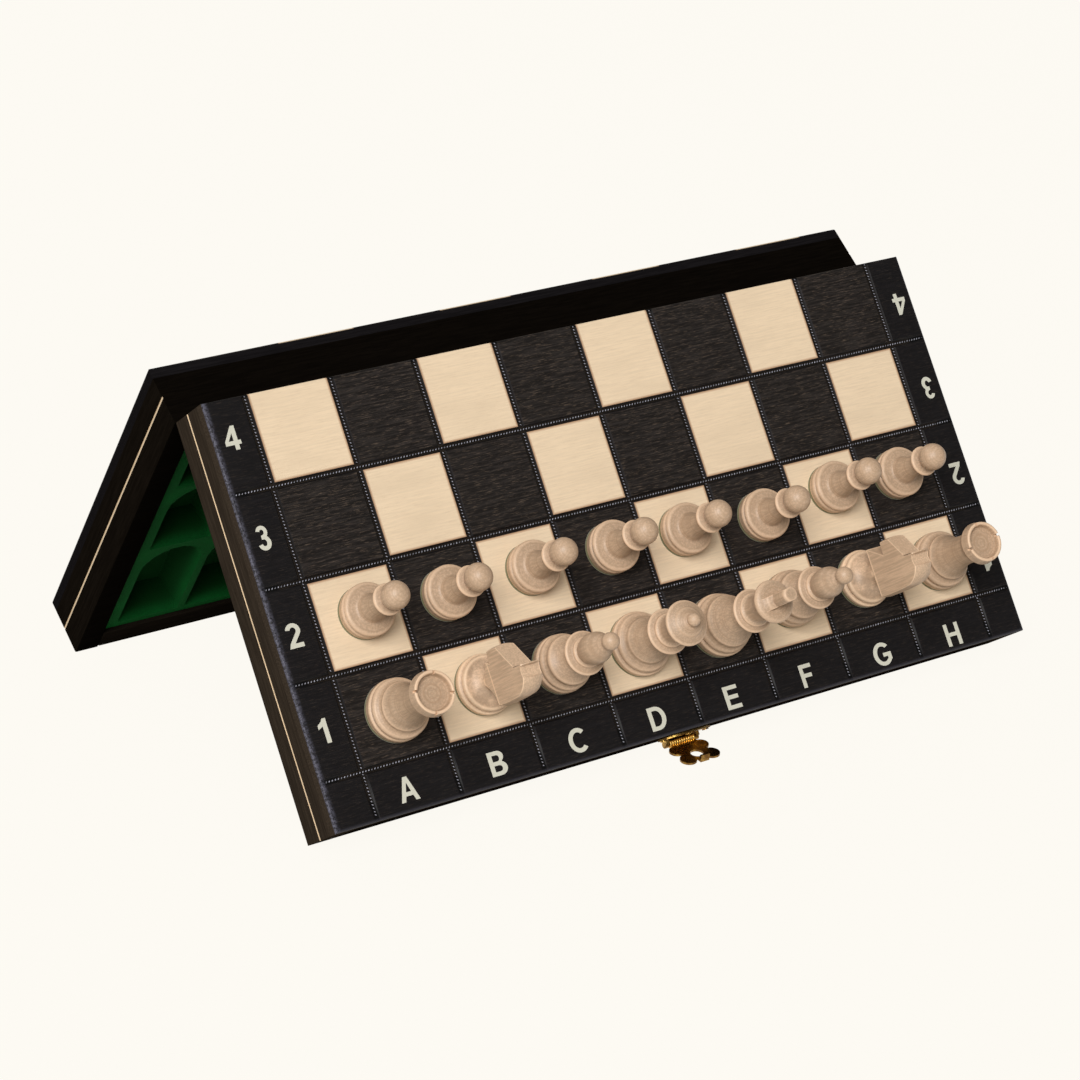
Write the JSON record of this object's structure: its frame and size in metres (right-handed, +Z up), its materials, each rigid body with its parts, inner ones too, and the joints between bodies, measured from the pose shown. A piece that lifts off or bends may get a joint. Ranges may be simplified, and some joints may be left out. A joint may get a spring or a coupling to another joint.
{
  "type": "folding magnetic chess board",
  "caption": "Wooden chess box hinged in the middle, standing like a tent, with magnetic men on one half, pockets inside and a brass clasp that closes it.",
  "frame": {"origin": "on the table, in the middle of the footprint of the standing board", "axes": "+X along the ridge, from the A file to the H file, -Y towards the half with the men, +Z up"},
  "size_m": [0.269, 0.2122, 0.1219],
  "materials": {
    "playing_panel": "stained and scorched, satin",
    "black_wood": "black stain, satin",
    "pale_wood": "turned, thin clear coat",
    "felt": "felt",
    "flocked_tray": "flocked",
    "steel": "plain sheet",
    "brass": "aged"
  },
  "bodies": {
    "front_half": {"clasp_nails": "brass", "clasp_pin": "brass", "clasp_plate": "brass", "front_hinge_nails": "brass", "front_insert_tray": "flocked_tray", "front_left_hinge_leaf": "brass", "front_left_rail": "black_wood", "front_outer_rail": "black_wood", "front_playing_panel": "playing_panel", "front_right_hinge_leaf": "brass", "front_right_rail": "black_wood", "front_spine_rail": "black_wood", "front_steel_sheet": "steel", "hinge_pins": "brass"},
    "back_half": {"back_hinge_nails": "brass", "back_insert_tray": "flocked_tray", "back_left_hinge_leaf": "brass", "back_left_rail": "black_wood", "back_outer_rail": "black_wood", "back_playing_panel": "playing_panel", "back_right_hinge_leaf": "brass", "back_right_rail": "black_wood", "back_spine_rail": "black_wood", "back_steel_sheet": "steel", "catch_nails": "brass", "catch_plate": "brass"},
    "hasp": {"hasp": "brass"},
    "white_bishop_c": {"white_bishop_c": "pale_wood", "white_bishop_c_foot": "felt"},
    "white_bishop_f": {"white_bishop_f": "pale_wood", "white_bishop_f_foot": "felt"},
    "white_king_e": {"white_king_e": "pale_wood", "white_king_e_foot": "felt"},
    "white_knight_b": {"white_knight_b": "pale_wood", "white_knight_b_foot": "felt"},
    "white_knight_g": {"white_knight_g": "pale_wood", "white_knight_g_foot": "felt"},
    "white_pawn_a": {"white_pawn_a": "pale_wood", "white_pawn_a_foot": "felt"},
    "white_pawn_b": {"white_pawn_b": "pale_wood", "white_pawn_b_foot": "felt"},
    "white_pawn_c": {"white_pawn_c": "pale_wood", "white_pawn_c_foot": "felt"},
    "white_pawn_d": {"white_pawn_d": "pale_wood", "white_pawn_d_foot": "felt"},
    "white_pawn_e": {"white_pawn_e": "pale_wood", "white_pawn_e_foot": "felt"},
    "white_pawn_f": {"white_pawn_f": "pale_wood", "white_pawn_f_foot": "felt"},
    "white_pawn_g": {"white_pawn_g": "pale_wood", "white_pawn_g_foot": "felt"},
    "white_pawn_h": {"white_pawn_h": "pale_wood", "white_pawn_h_foot": "felt"},
    "white_queen_d": {"white_queen_d": "pale_wood", "white_queen_d_foot": "felt"},
    "white_rook_a": {"white_rook_a": "pale_wood", "white_rook_a_foot": "felt"},
    "white_rook_h": {"white_rook_h": "pale_wood", "white_rook_h_foot": "felt"}
  },
  "joints": [
    {"name": "fold", "type": "hinge", "parent": "front_half", "child": "back_half", "pos_m": [0, 0.01085, 0.11008], "axis": [1, 0, 0], "range_deg": [-70.8, 109.2]},
    {"name": "hasp_swing", "type": "hinge", "parent": "front_half", "child": "hasp", "pos_m": [0, -0.07303, 0.00155], "axis": [1, 0, 0], "range_deg": [-34, 141.4]},
    {"name": "white_bishop_c_lift", "type": "slide", "parent": "front_half", "child": "white_bishop_c", "axis": [0, -0.8151, 0.5793], "range_m": [0, 0.06]},
    {"name": "white_bishop_f_lift", "type": "slide", "parent": "front_half", "child": "white_bishop_f", "axis": [0, -0.8151, 0.5793], "range_m": [0, 0.06]},
    {"name": "white_king_e_lift", "type": "slide", "parent": "front_half", "child": "white_king_e", "axis": [0, -0.8151, 0.5793], "range_m": [0, 0.06]},
    {"name": "white_knight_b_lift", "type": "slide", "parent": "front_half", "child": "white_knight_b", "axis": [0, -0.8151, 0.5793], "range_m": [0, 0.06]},
    {"name": "white_knight_g_lift", "type": "slide", "parent": "front_half", "child": "white_knight_g", "axis": [0, -0.8151, 0.5793], "range_m": [0, 0.06]},
    {"name": "white_pawn_a_lift", "type": "slide", "parent": "front_half", "child": "white_pawn_a", "axis": [0, -0.8151, 0.5793], "range_m": [0, 0.06]},
    {"name": "white_pawn_b_lift", "type": "slide", "parent": "front_half", "child": "white_pawn_b", "axis": [0, -0.8151, 0.5793], "range_m": [0, 0.06]},
    {"name": "white_pawn_c_lift", "type": "slide", "parent": "front_half", "child": "white_pawn_c", "axis": [0, -0.8151, 0.5793], "range_m": [0, 0.06]},
    {"name": "white_pawn_d_lift", "type": "slide", "parent": "front_half", "child": "white_pawn_d", "axis": [0, -0.8151, 0.5793], "range_m": [0, 0.06]},
    {"name": "white_pawn_e_lift", "type": "slide", "parent": "front_half", "child": "white_pawn_e", "axis": [0, -0.8151, 0.5793], "range_m": [0, 0.06]},
    {"name": "white_pawn_f_lift", "type": "slide", "parent": "front_half", "child": "white_pawn_f", "axis": [0, -0.8151, 0.5793], "range_m": [0, 0.06]},
    {"name": "white_pawn_g_lift", "type": "slide", "parent": "front_half", "child": "white_pawn_g", "axis": [0, -0.8151, 0.5793], "range_m": [0, 0.06]},
    {"name": "white_pawn_h_lift", "type": "slide", "parent": "front_half", "child": "white_pawn_h", "axis": [0, -0.8151, 0.5793], "range_m": [0, 0.06]},
    {"name": "white_queen_d_lift", "type": "slide", "parent": "front_half", "child": "white_queen_d", "axis": [0, -0.8151, 0.5793], "range_m": [0, 0.06]},
    {"name": "white_rook_a_lift", "type": "slide", "parent": "front_half", "child": "white_rook_a", "axis": [0, -0.8151, 0.5793], "range_m": [0, 0.06]},
    {"name": "white_rook_h_lift", "type": "slide", "parent": "front_half", "child": "white_rook_h", "axis": [0, -0.8151, 0.5793], "range_m": [0, 0.06]}
  ]
}
